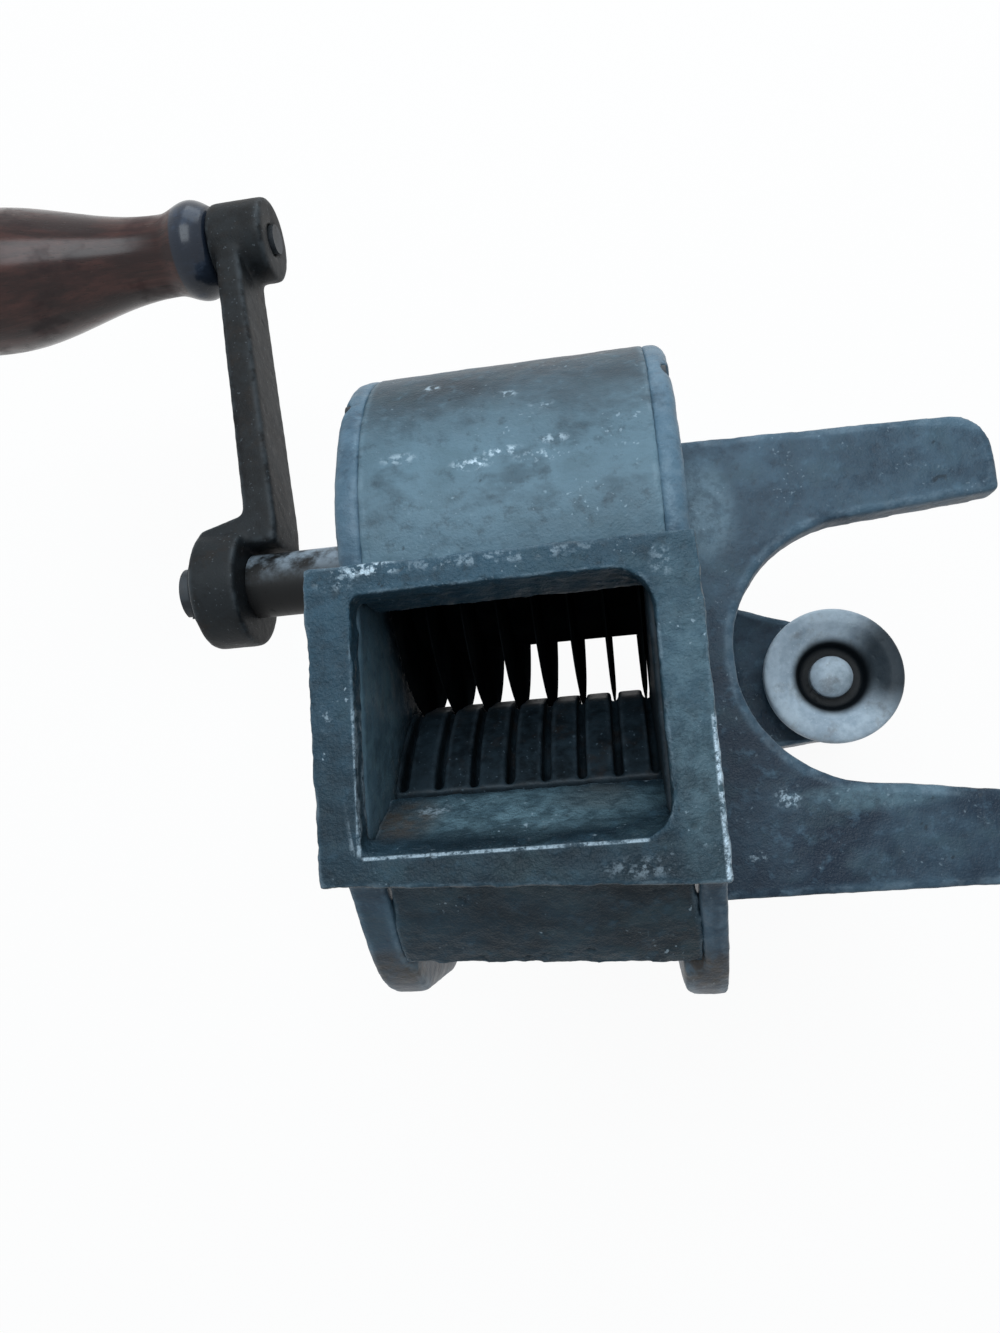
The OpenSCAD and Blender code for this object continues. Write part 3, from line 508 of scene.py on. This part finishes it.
def casting_tree():
    """Rounds a mesh, dents and pits it along its normals, and notes where its edges and pits lie."""
    tree = bpy.data.node_groups.new("casting_skin", "GeometryNodeTree")
    socket(tree, "Geometry", "NodeSocketGeometry")
    for name in ("Soften", "Reach"):
        socket(tree, name, "NodeSocketInt")
    for name in ("Dent", "Grit", "Pit", "PitSize", "PitShare"):
        socket(tree, name, "NodeSocketFloat")
    socket(tree, "Finish", "NodeSocketMaterial")
    socket(tree, "Geometry", "NodeSocketGeometry", "OUTPUT")
    b = Bench(tree)
    given = tree.nodes.new("NodeGroupInput")
    put = {s.name: Wire(b, s) for s in given.outputs if s.name}
    spot = b.node("GeometryNodeInputPosition")
    normal = b.node("GeometryNodeInputNormal")
    vector = {"data_type": "FLOAT_VECTOR"}
    soft = b.node("GeometryNodeBlurAttribute", vector, [spot, put["Soften"]])
    shape = b.node("GeometryNodeSetPosition", None, {0: put["Geometry"], 2: soft})
    around = b.node("GeometryNodeBlurAttribute", vector, [spot, put["Reach"]])
    rise = b.node("ShaderNodeVectorMath", {"operation": "SUBTRACT"}, [spot, around])
    edge = b.node("ShaderNodeVectorMath", {"operation": "DOT_PRODUCT"}, [rise, normal], "Value") / MM
    store = {"data_type": "FLOAT", "domain": "POINT"}
    shape = b.node("GeometryNodeStoreNamedAttribute", store, {0: shape, 2: "edge", 3: edge})
    lumps = b.node("ShaderNodeTexNoise", None, {0: spot, 2: 1 / (LUMP_SIZE * MM), 3: 3.0, 4: 0.65})
    holes = b.node("ShaderNodeTexNoise", None, {0: spot, 2: 1 / (put["PitSize"] * MM), 3: 2.0})
    fields = b.node("ShaderNodeTexNoise", None, {0: spot, 2: 1 / (FIELD_SIZE * MM), 3: 1.0})
    pit = b.step(holes + 0.5 * (fields - 0.5), PIT_FROM - put["PitShare"], PIT_FULL - put["PitShare"])
    shape = b.node("GeometryNodeStoreNamedAttribute", store, {0: shape, 2: "pit", 3: pit})
    bumps = b.node("ShaderNodeTexNoise", None, {0: spot, 2: 1 / (BUMP_SIZE * MM), 3: 2.0, 4: 0.55})
    uneven = (lumps - LIFT_TOP) * put["Dent"] + (bumps - LIFT_TOP) * put["Grit"]
    lift = (uneven - pit * put["Pit"]) * MM
    push = b.node("ShaderNodeVectorMath", {"operation": "SCALE"}, {0: normal, 3: lift})
    shape = b.node("GeometryNodeSetPosition", None, {0: shape, 3: push})
    shape = b.node("GeometryNodeSetShadeSmooth", None, {0: shape})
    shape = b.node("GeometryNodeRealizeInstances", None, {0: shape})
    shape = b.node("GeometryNodeSetMaterial", None, {0: shape, 2: put["Finish"]})
    tree.links.new(shape.socket, tree.nodes.new("NodeGroupOutput").inputs[0])
    return tree


CASTING = casting_tree()


def cast_skin(name, mesh, finish, voxel, soften, dent, grit, pit, pit_size=2.2, pit_share=0.0):
    """A casting's skin: the solid with its edges rounded, its faces uneven and pitted."""
    obj = piece(name, mesh)
    grid = obj.modifiers.new("voxels", "REMESH")
    grid.mode = "VOXEL"
    grid.voxel_size = voxel * MM
    run_tree(obj, CASTING, Soften=soften, Reach=EDGE_REACH, Dent=dent, Grit=grit, Pit=pit,
             PitSize=pit_size, PitShare=pit_share, Finish=finish)
    return settle(obj)


TURNED_SEGMENTS = 128


def turned(name, profile, along, finish):
    """Turns a closed outline of (distance, radius) points, in millimetres, about a line along -X."""
    angles = [2 * math.pi * i / TURNED_SEGMENTS for i in range(TURNED_SEGMENTS)]
    rows = [[Vector((along.x - s, along.y + r * math.cos(a), along.z + r * math.sin(a))) * MM for a in angles]
            for s, r in profile]
    bm = bmesh.new()
    rings = [[bm.verts.new(p) for p in row] for row in rows]
    for one, two in zip(rings, rings[1:] + rings[:1]):
        for i in range(TURNED_SEGMENTS):
            j = (i + 1) % TURNED_SEGMENTS
            bm.faces.new((one[i], one[j], two[j], two[i]))
    bmesh.ops.recalc_face_normals(bm, faces=bm.faces)
    for face in bm.faces:
        face.smooth = True
    mesh = bpy.data.meshes.new(name)
    bm.to_mesh(mesh)
    bm.free()
    mesh.materials.append(finish)
    return piece(name, mesh)


# Thread: points round the bar, rows to a turn, the length over which it runs out, in millimetres, and the
# shares of half a turn between which its flank rises
THREAD_SIDES = 64
THREAD_ROWS = 12
THREAD_RUNOUT = 1.5
FLANK_FROM = 0.15
FLANK_TO = 0.75


def thread_tree():
    """A round bar along Z with a screw thread cut into it, from its named sizes."""
    tree = bpy.data.node_groups.new("screw_thread", "GeometryNodeTree")
    for name in ("Radius", "Length", "Pitch", "Depth", "Bottom"):
        socket(tree, name, "NodeSocketFloat")
    socket(tree, "Finish", "NodeSocketMaterial")
    socket(tree, "Geometry", "NodeSocketGeometry", "OUTPUT")
    b = Bench(tree)
    given = tree.nodes.new("NodeGroupInput")
    put = {s.name: Wire(b, s) for s in given.outputs if s.name}
    rows = b.node("ShaderNodeMath", {"operation": "ROUND"}, [put["Length"] / put["Pitch"] * THREAD_ROWS])
    sizes = {"Vertices": THREAD_SIDES, "Side Segments": rows, "Radius": put["Radius"], "Depth": put["Length"]}
    bar = b.node("GeometryNodeMeshCylinder", {"fill_type": "NGON"}, sizes)
    spot = b.node("GeometryNodeInputPosition")
    x, y, z = (b.axis(spot, n) for n in "XYZ")
    turn = b.node("ShaderNodeMath", {"operation": "ARCTAN2"}, [y, x]) / (2 * math.pi)
    phase = b.node("ShaderNodeMath", {"operation": "PINGPONG"}, [z / put["Pitch"] - turn, 0.5]) * 2
    ends = b.step(put["Length"] / 2 - abs(z), 0.0, THREAD_RUNOUT * MM)
    groove = (1 - b.step(phase, FLANK_FROM, FLANK_TO)) * put["Depth"] * ends + (1 - ends) * put["Depth"]
    share = 1 - groove / put["Radius"]
    height = z + put["Bottom"] + put["Length"] / 2
    cut = b.node("ShaderNodeCombineXYZ", None, [x * share, y * share, height])
    shape = b.node("GeometryNodeSetPosition", None, {0: bar, 2: cut})
    shape = b.node("GeometryNodeSetShadeSmooth", None, {0: shape})
    shape = b.node("GeometryNodeRealizeInstances", None, {0: shape})
    shape = b.node("GeometryNodeSetMaterial", None, {0: shape, 2: put["Finish"]})
    tree.links.new(shape.socket, tree.nodes.new("NodeGroupOutput").inputs[0])
    return tree


def joined(name, parts):
    """One object from several; the parts are used up."""
    bm = bmesh.new()
    for part in parts:
        bm.from_mesh(part.data)
    mesh = bpy.data.meshes.new(name)
    bm.to_mesh(mesh)
    bm.free()
    for material in parts[0].data.materials:
        mesh.materials.append(material)
    for part in parts:
        bpy.data.objects.remove(part)
    return piece(name, mesh)


def stands_for(obj, body, slot, *nodes):
    """Puts a finished piece on its body in the place of its nodes."""
    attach(obj, body)
    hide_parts(*nodes)


# Castings
mouth_rubs = (
    ((MOUTH_LEFT - 0.5, MOUTH_FRONT), (MOUTH_LEFT - 0.5, -12.0), 0.5, 0.45),
    ((MOUTH_LEFT, MOUTH_FRONT - 0.5), (MOUTH_RIGHT - 4.0, MOUTH_FRONT - 0.5), 0.4, 0.6),
    ((-40.9, -18.0), (-41.2, -45.0), 0.8, 0.9),
    ((-105.0, -24.0), (-103.0, -37.0), 0.5, 0.35),
)
rim_patches = (
    ((-98.0, 12.6, RIM_HIGH.z), (8, 2.2, 3), 0.9),
    ((-75.0, 12.4, RIM_HIGH.z), (26, 1.8, 3), 0.32),
    ((-104.0, 12.0, RIM_HIGH.z), (6, 4, 4), 0.4),
    ((-47.0, 8.5, RIM_HIGH.z), (3, 4, 3), 0.25),
    ((-107.0, -13.5, RIM_HIGH.z), (1.6, 3, 3), 0.4),
    ((-55.0, -42.0, RIM_HIGH.z), (9, 2.5, 3), 0.25),
    ((-92.0, -30.0, 50.0), (4, 3, 4), 0.6),
)
# Brown dirt in the chute's corners, a pale patch over the chute, and a pale strip of painted light along the
# rim's right bar
rim_stains_and_painted_light = (
    ((-76.0, -31.0, 52.0), (34, 11, 14), 0.75, PALE_LACQUER_AND_PAINTED_LIGHT),
    ((-97.0, -32.0, 52.0), (9, 8, 14), 0.8, IRON_BROWN),
    ((-62.0, -30.0, 48.0), (10, 6, 10), 0.4, IRON_BROWN),
    # Painted light: a pale strip along the rim's right bar, on the side turned to the lamps
    ((-44.0, -17.0, RIM_HIGH.z), (7, 42, 6), 0.4, PALE_LACQUER_AND_PAINTED_LIGHT),
)
cover_patches = (
    ((-80.0, 34.0, 56.0), (5, 1.8, 5), 0.9),
    ((-74.0, 36.0, 56.0), (5, 1.6, 5), 0.8),
    ((-67.0, 34.0, 57.0), (6, 1.8, 5), 0.7),
    ((-64.0, 37.5, 56.0), (4, 1.4, 5), 0.6),
    ((-94.0, 37.0, 56.0), (5, 1.6, 5), 0.5),
    ((-88.4, 55.3, 46.2), (2.2, 1.8, 4), 0.8),
    ((-73.0, 50.0, 50.0), (3, 1.6, 4), 0.6),
    ((-66.0, 46.0, 53.0), (3, 1.6, 4), 0.5),
)
# Brown on the feet, a pale patch on the mouth's left inner wall, and pale patches of painted light on the
# right wall
wall_stains_and_painted_light = (
    ((-102.0, -61.0, 35.0), (14, 10, 10), 0.7, FOOT_BROWN),
    ((-46.0, -63.5, 35.0), (14, 10, 10), 0.7, FOOT_BROWN),
    # Painted light: a pale patch on the right wall's back shoulder, lifting its shade
    ((-33.0, 35.0, 8.0), (9, 16, 6), 0.55, FLANGE_PAINTED_LIGHT),
    # Painted highlight: a pale strip along the front prong's back edge, where the back light falls
    ((-5.0, -32.8, 8.0), (24, 4, 4), 0.5, PALE_LACQUER_AND_PAINTED_LIGHT),
    ((MOUTH_LEFT, -14.0, 50.0), (4, 30, 22), 0.8, PALE_LACQUER_AND_PAINTED_LIGHT),
)
fork_patches = (
    ((-22.0, -32.0, 8.0), (4, 3, 3), 0.6),
    ((-30.0, -44.0, 8.0), (3, 2, 3), 0.4),
)
# Painted shade on the pad's right side, which faces away from the lamp
pad_painted_shade = (
    ((16, 3, PAD_HIGH.z - 2), (16, 20, 13), 0.95),
)
# painted_light_fade is painted shade and light: the rim goes darker at the front, the cover at the back and
# lower down, the walls low and at the front
rim_iron = lacquered_iron(
    "hopper_lacquer", dark=srgb(20, 33, 41), light=srgb(56, 84, 101), painted_light_fade=(1, 0, -48, 25), rubs=mouth_rubs,
    patches=rim_patches, stains_and_painted_light=rim_stains_and_painted_light, flecked=0.45, edge_wear=0.15, relief=0.8)
cover_iron = lacquered_iron(
    "cover_lacquer", dark=srgb(32, 47, 57), light=srgb(100, 127, 142), painted_light_fade=(-0.6, 1, 14, 36), rubs=(),
    patches=cover_patches, stains_and_painted_light=(), flecked=0.3, edge_wear=0.1, relief=0.3)
wall_iron = lacquered_iron(
    "wall_lacquer", dark=srgb(24, 39, 54), light=srgb(92, 120, 139), painted_light_fade=(0.5, 1, -10, 85), rubs=(),
    patches=fork_patches, stains_and_painted_light=wall_stains_and_painted_light, flecked=0.2, edge_wear=0.1, relief=0.35)
comb_iron = bare_iron(
    "comb_iron", dark=srgb(12, 19, 24), light=srgb(30, 42, 50), rust=srgb(40, 32, 27),
    bright=srgb(84, 100, 112), wear=0.15)
crank_iron = bare_iron(
    "crank_iron", dark=srgb(14, 16, 18), light=srgb(32, 36, 39), rust=srgb(38, 32, 28),
    bright=srgb(92, 100, 106), wear=0.3)
clamp_iron = bare_iron(
    "clamp_iron", dark=srgb(136, 150, 160), light=srgb(172, 186, 198), rust=srgb(100, 95, 90),
    bright=srgb(186, 198, 206), wear=0.5)
# The pad's dish, between 6 and 11.5 mm from its axis, is painted black as shade
pad_iron = bare_iron(
    "pad_iron", dark=srgb(150, 166, 180), light=srgb(180, 195, 207), rust=srgb(120, 118, 116),
    bright=srgb(196, 208, 216), wear=0.5, painted_shades=pad_painted_shade, shaded_hollow=(6.0, 11.5))

# The hopper's front slopes up to the mouth's edge, and a cheek closes the comb's end beside the last knife
CHUTE_TOP = 66.9
CHUTE_LOW = 60.5
CHUTE_LOW_Y = -34.2
CHUTE_DEPTH = 0.6
CHUTE_LAP = 0.4
CHUTE_EDGE = [
    (MOUTH_FRONT - CHUTE_DEPTH, CHUTE_TOP), (MOUTH_FRONT, CHUTE_TOP), (CHUTE_LOW_Y, CHUTE_LOW),
    (MOUTH_FRONT - CHUTE_DEPTH, CHUTE_LOW)]
CHEEK_LEFT = -49.9
CHEEK_RIGHT = -45.9
CHEEK_TOP = 60.9
CHEEK_ROOM = 0.2
CHEEK_BACK = MOUTH_BACK - CHEEK_ROOM
CHEEK = [
    (-26.0, 43.0), (CHUTE_LOW_Y, CHEEK_TOP), (CHEEK_BACK, CHEEK_TOP), (CHEEK_BACK, 50.2), (14.0, 46.0),
    (24.0, 46.0), (24.0, 30.0), (12.0, 22.0), (11.0, 14.0), (12.0, 9.65), (-5.4, 9.65)]
hopper_mesh = with_bar(merged_copy("hopper"), MOUTH_LEFT - CHUTE_LAP, MOUTH_RIGHT + CHUTE_LAP, CHUTE_EDGE)
comb_mesh = with_bar(merged_copy("comb"), CHEEK_LEFT, CHEEK_RIGHT, CHEEK)

# The cover and the apron close on the walls, and the apron lies a little further out than its solid
LAP = 1.0
APRON_TOP = 46.0
APRON_OUT = 0.4


def lapped(mesh, top):
    """Draws a mesh's ends out along X, below a level, and gives the points that it moved."""
    inside = [v for v in mesh.vertices if v.co.z < top * MM]
    left, right = (pick(v.co.x for v in inside) for pick in (min, max))
    for vertex in inside:
        vertex.co.x += (2 * (vertex.co.x - left) / (right - left) - 1) * LAP * MM
    return inside


cover_mesh = merged_copy("drum_cover")
lapped(cover_mesh, RIM_HIGH.z)
for vertex in lapped(hopper_mesh, APRON_TOP):
    vertex.co.y -= APRON_OUT * MM
skins = {
    "left_wall": cast_skin(
        "left_wall_casting", merged_copy("left_wall"), wall_iron, voxel=0.6, soften=7, dent=0.6, grit=0.3,
        pit=0.12),
    "right_wall": cast_skin(
        "right_wall_casting", merged_copy("right_wall"), wall_iron, voxel=0.75, soften=4, dent=0.6, grit=0.35,
        pit=0.12),
    "hopper": cast_skin(
        "hopper_casting", hopper_mesh, rim_iron, voxel=0.5, soften=8, dent=1.0, grit=0.9, pit=0.35),
    "drum_cover": cast_skin(
        "drum_cover_casting", cover_mesh, cover_iron, voxel=0.6, soften=1, dent=0.6, grit=0.15, pit=0.1),
}
for node, skin in skins.items():
    stands_for(skin, "body", "lacquered_iron", node)

# The comb's bars bend down towards their back ends
NOSE_FROM = -22.0
NOSE_REACH = 14.0
NOSE_DROP = 6.0
NOSE_FOOT = 12.0
NOSE_H = 14.0
comb = cast_skin(
    "comb_casting", comb_mesh, comb_iron, voxel=0.42, soften=5, dent=0.1, grit=0.05, pit=0.1, pit_size=1.8)
for vertex in comb.data.vertices:
    along = min(max((vertex.co.y / MM - NOSE_FROM) / NOSE_REACH, 0), 1)
    up = min(max((vertex.co.z / MM - NOSE_FOOT) / NOSE_H, 0), 1)
    if vertex.co.x < CHEEK_LEFT * MM:
        vertex.co.z -= NOSE_DROP * along ** 2 * up * MM
stands_for(comb, "body", "comb_iron", "comb")

arm = cast_skin(
    "crank_forging", merged_copy("crank_arm"), crank_iron, voxel=0.38, soften=20, dent=0.3, grit=0.1,
    pit=0.08, pit_size=2.5)
stands_for(arm, "crank", "crank_iron", "crank_arm")
pad = cast_skin(
    "pad_casting", merged_copy("clamp_pad"), pad_iron, voxel=0.3, soften=14, dent=0.1, grit=0.1, pit=0.12,
    pit_size=1.2, pit_share=0.06)
stands_for(pad, "pad", "clamp_iron", "clamp_pad")

# Clamp screw: threaded bar between the wing and the riveted tip
SCREW_D = 12.0
THREAD_PITCH = 2.5
THREAD_DEPTH = 0.85
WING_H = 24.0
WING_LAP = 2
TIP_LAP = 0.2
PAD_ROOM = 0.35
PAST_END = 1
WING_TOP = SCREW_LOW.z + WING_H
THREAD_TOP = PAD_LOW.z - PAD_ROOM
wing_mesh = merged_copy("clamp_screw", (SCREW_LOW.z - PAST_END, WING_TOP + WING_LAP))
wing = cast_skin(
    "wing", wing_mesh, clamp_iron, voxel=0.4, soften=6, dent=0.2, grit=0.1, pit=0.12, pit_size=1.8)
tip_mesh = merged_copy("clamp_screw", (THREAD_TOP - TIP_LAP, SCREW_HIGH.z + PAST_END))
tip = cast_skin(
    "tip", tip_mesh, clamp_iron, voxel=0.25, soften=5, dent=0.2, grit=0.1, pit=0.12, pit_size=1.4)
bar = piece("bar", bpy.data.meshes.new("bar"))
run_tree(bar, thread_tree(), Radius=SCREW_D / 2 * MM, Length=(THREAD_TOP - WING_TOP) * MM,
         Pitch=THREAD_PITCH * MM, Depth=THREAD_DEPTH * MM, Bottom=WING_TOP * MM, Finish=clamp_iron)
settle(bar)
stands_for(joined("clamp_screw_threaded", (wing, tip, bar)), "screw", "clamp_iron", "clamp_screw")

# Grip: the turned outline from the eye outwards, its bore and the sink for the axle's head
GRIP_L = 102.0
GRIP_D = 35.5
BEAD_D = 24.0
WAIST_D = 19.75
FACE_D = 19.5
WAIST_AT = 13.0
BEAD_AT = 5.0
SWELL_AT = 62.0
FERRULE_L = 8.5
BORE_R = 3.6
SINK_R = 6.7
SINK_DEPTH = 7.3
END_TAPER = 0.75
GRIP_STEPS = 140


def ease(t):
    """Goes smoothly from 0 to 1 with t."""
    return (1 - math.cos(math.pi * t)) / 2


def grip_radius(s):
    """Radius of the grip at a distance from the eye."""
    if s < BEAD_AT:
        return (FACE_D + (BEAD_D - FACE_D) * math.sin(math.pi / 2 * s / BEAD_AT)) / 2
    if s < WAIST_AT:
        return (BEAD_D + (WAIST_D - BEAD_D) * ease((s - BEAD_AT) / (WAIST_AT - BEAD_AT))) / 2
    if s < SWELL_AT:
        return (WAIST_D + (GRIP_D - WAIST_D) * ease((s - WAIST_AT) / (SWELL_AT - WAIST_AT))) / 2
    return GRIP_D / 2 * math.sqrt(1 - END_TAPER * ((s - SWELL_AT) / (GRIP_L - SWELL_AT)) ** 2)


stations = [GRIP_L * i / GRIP_STEPS for i in range(GRIP_STEPS + 1)]
outline = [(s, grip_radius(s)) for s in stations]
outline += [(GRIP_L, SINK_R), (GRIP_L - SINK_DEPTH, SINK_R), (GRIP_L - SINK_DEPTH, BORE_R), (0, BORE_R)]
wood = varnished_wood("varnished_wood", FERRULE_L)
grip = turned("grip_turned", outline, Vector((GRIP_HIGH.x, GRIP_AXIS.y, GRIP_AXIS.z)), wood)
stands_for(grip, "grip", "grip_wood", "grip")

# Steel pieces keep their solids and get worn steel
# The knives and spacers are near black: tarnished steel, darkened further as painted shade for the inside of
# the hopper
knife_steel = turned_steel(
    "knife_steel", dark=srgb(14, 17, 20), light=srgb(26, 30, 33), rust=srgb(38, 30, 26), ring=0.25, shine=0.0)
# Painted light: the shaft's bright colour shows only on its back as a painted highlight, and its front is
# painted dark as shade
shaft_steel = turned_steel(
    "shaft_steel", dark=srgb(20, 21, 22), light=srgb(140, 154, 166), rust=srgb(104, 106, 108), ring=0.35,
    shine=0.2, side=1.0)
screw_steel = turned_steel(
    "screw_steel", dark=srgb(34, 38, 42), light=srgb(60, 65, 70), rust=srgb(54, 46, 40), ring=0.3, shine=0.2)
for node, obj in frame["nodes"].items():
    kind = node.split("_")[0]
    if kind in ("knife", "spacer"):
        finish = knife_steel
    elif node == "shaft":
        finish = shaft_steel
    elif kind == "stack" or node.endswith(("screws", "washer")) or node in ("crank_screw", "grip_axle"):
        finish = screw_steel
    else:
        continue
    obj.material_slots[0].material = finish


# Stage, light and camera, in metres
DAYLIGHT = (0.87, 0.95, 1.0)
ROOM_STRENGTH = 0.32
FLOOR_HALF = 4.0
FLOOR_GREY = 0.9
FLOOR_SHOWN = 0.93


def floor():
    """A wide pale floor under the lowest point, which keeps the shadow and shows white."""
    turns = ((-1, -1), (1, -1), (1, 1), (-1, 1))
    corners = [(x * FLOOR_HALF, y * FLOOR_HALF, cad_low.z) for x, y in turns]
    mesh = bpy.data.meshes.new("floor")
    mesh.from_pydata(corners, [], [(0, 1, 2, 3)])
    material = bpy.data.materials.new("floor_white")
    material.use_nodes = True
    tree = material.node_tree
    tree.nodes.clear()
    b = Bench(tree)
    shown = b.seen() * FLOOR_SHOWN
    cloth = b.node("ShaderNodeBsdfDiffuse", None, {"Color": (FLOOR_GREY, FLOOR_GREY, FLOOR_GREY, 1)})
    white = b.node("ShaderNodeEmission", None, {"Color": (1, 1, 1, 1), "Strength": 1.0})
    mixed = b.node("ShaderNodeMixShader", None, [shown, cloth, white])
    tree.links.new(mixed.socket, tree.nodes.new("ShaderNodeOutputMaterial").inputs[0])
    mesh.materials.append(material)
    piece("floor", mesh)


def room():
    """Even pale light from all round, seen as white."""
    world = bpy.data.worlds.new("studio")
    bpy.context.scene.world = world
    world.use_nodes = True
    tree = world.node_tree
    tree.nodes.clear()
    b = Bench(tree)
    even = b.node("ShaderNodeBackground", None, {"Color": (*DAYLIGHT, 1), "Strength": ROOM_STRENGTH})
    white = b.node("ShaderNodeBackground", None, {"Color": (1, 1, 1, 1), "Strength": 1.0})
    mixed = b.node("ShaderNodeMixShader", None, [b.seen(), even, white])
    tree.links.new(mixed.socket, tree.nodes.new("ShaderNodeOutputWorld").inputs[0])


def softbox(name, place, aim, size, watts):
    """A square lamp that faces a point."""
    lamp = bpy.data.lights.new(name, "AREA")
    lamp.shape = "SQUARE"
    lamp.size = size
    lamp.energy = watts
    lamp.color = DAYLIGHT
    obj = bpy.data.objects.new(name, lamp)
    bpy.context.scene.collection.objects.link(obj)
    obj.location = place
    obj.rotation_euler = (Vector(aim) - Vector(place)).to_track_quat("-Z", "Y").to_euler()


def camera():
    """The camera at the photograph's place, upright in its frame."""
    lens = bpy.data.cameras.new("photo_camera")
    lens.sensor_fit = "VERTICAL"
    lens.sensor_height = SENSOR_MM
    lens.lens = SENSOR_MM * FOCAL_PX / FRAME_HEIGHT_PX
    lens.clip_start = CAMERA_CLIP
    obj = bpy.data.objects.new("photo_camera", lens)
    bpy.context.scene.collection.objects.link(obj)
    back = CAMERA_BACK.normalized()
    right = CAMERA_UP.cross(back).normalized()
    up = back.cross(right)
    turn = Matrix((right, up, back)).transposed().to_4x4()
    obj.matrix_world = Matrix.Translation(CAMERA_PLACE) @ turn
    bpy.context.scene.camera = obj


floor()
room()
softbox("window", place=(-0.08, 0.32, 1.12), aim=(-0.06, 0.0, 0.0), size=0.8, watts=10.0)
softbox("backdrop_glow", place=(0.1, 1.0, 0.4), aim=(-0.06, 0.0, 0.02), size=0.7, watts=4.0)
camera()
bpy.context.scene.view_settings.view_transform = "Standard"
